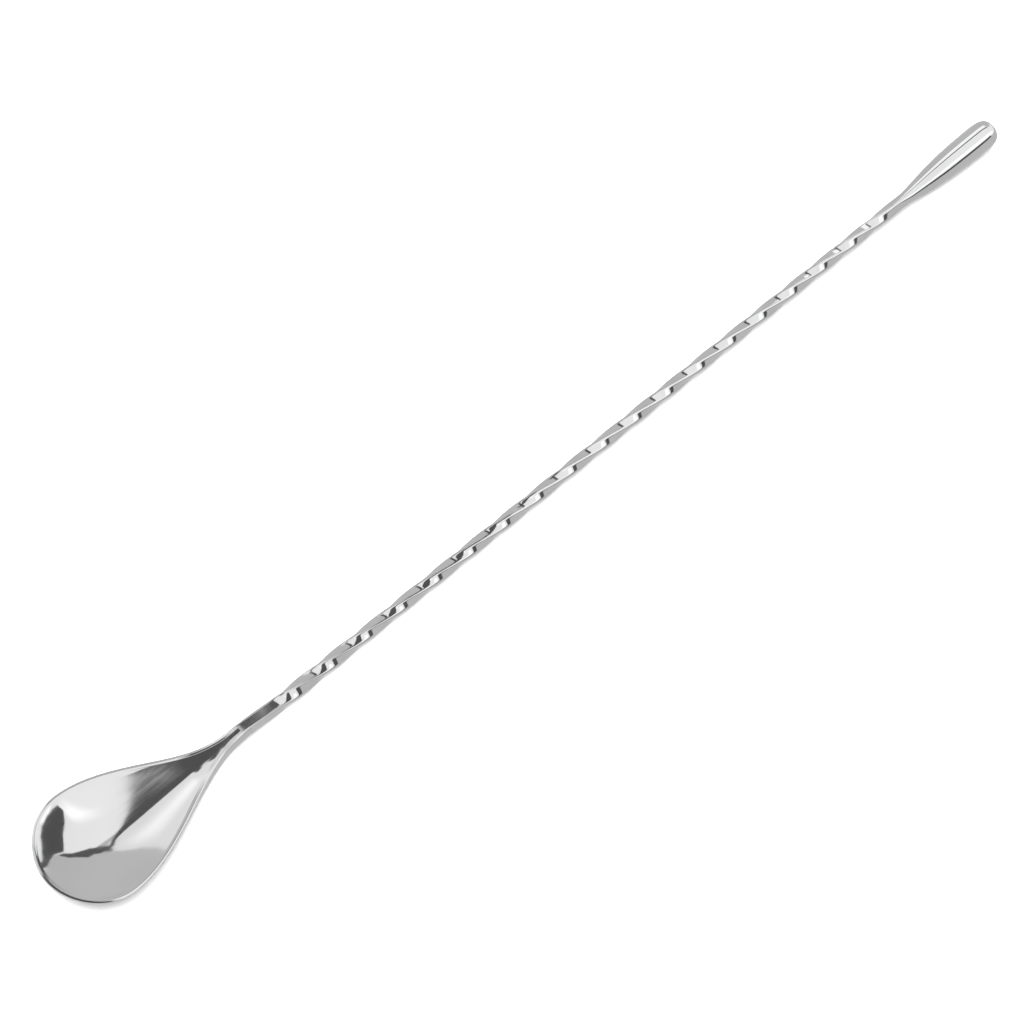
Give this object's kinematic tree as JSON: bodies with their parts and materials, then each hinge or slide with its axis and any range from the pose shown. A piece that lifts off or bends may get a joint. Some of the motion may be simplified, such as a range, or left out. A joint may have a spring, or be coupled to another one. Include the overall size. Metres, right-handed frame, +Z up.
{
  "type": "bar spoon",
  "caption": "Long stainless steel bar spoon with a teardrop bowl, a right-handed twisted square stem and a turned drop-shaped counterweight.",
  "frame": {"origin": "on the surface the spoon lies on, under the middle of its overall box", "axes": "+X along the spoon from the bowl to the drop counterweight, +Z up, out of the open side of the bowl, +Y across the spoon; at rest on its belly and drop the stem rises 0.44 degrees towards the drop"},
  "size_m": [0.3028, 0.0298, 0.0076],
  "materials": {
    "bowl_steel": "mirror polished, with faint buffing lines",
    "weld_steel": "ground flush and polished",
    "stem_steel": "polished after twisting, softer on the faces than on the edges",
    "braze_metal": "ground flush and polished",
    "drop_steel": "mirror polished, turned"
  },
  "bodies": {
    "root": {"bowl": "bowl_steel", "neck_weld": "weld_steel", "twisted_stem": "stem_steel", "counterweight_braze": "braze_metal", "drop_counterweight": "drop_steel"}
  },
  "joints": []
}
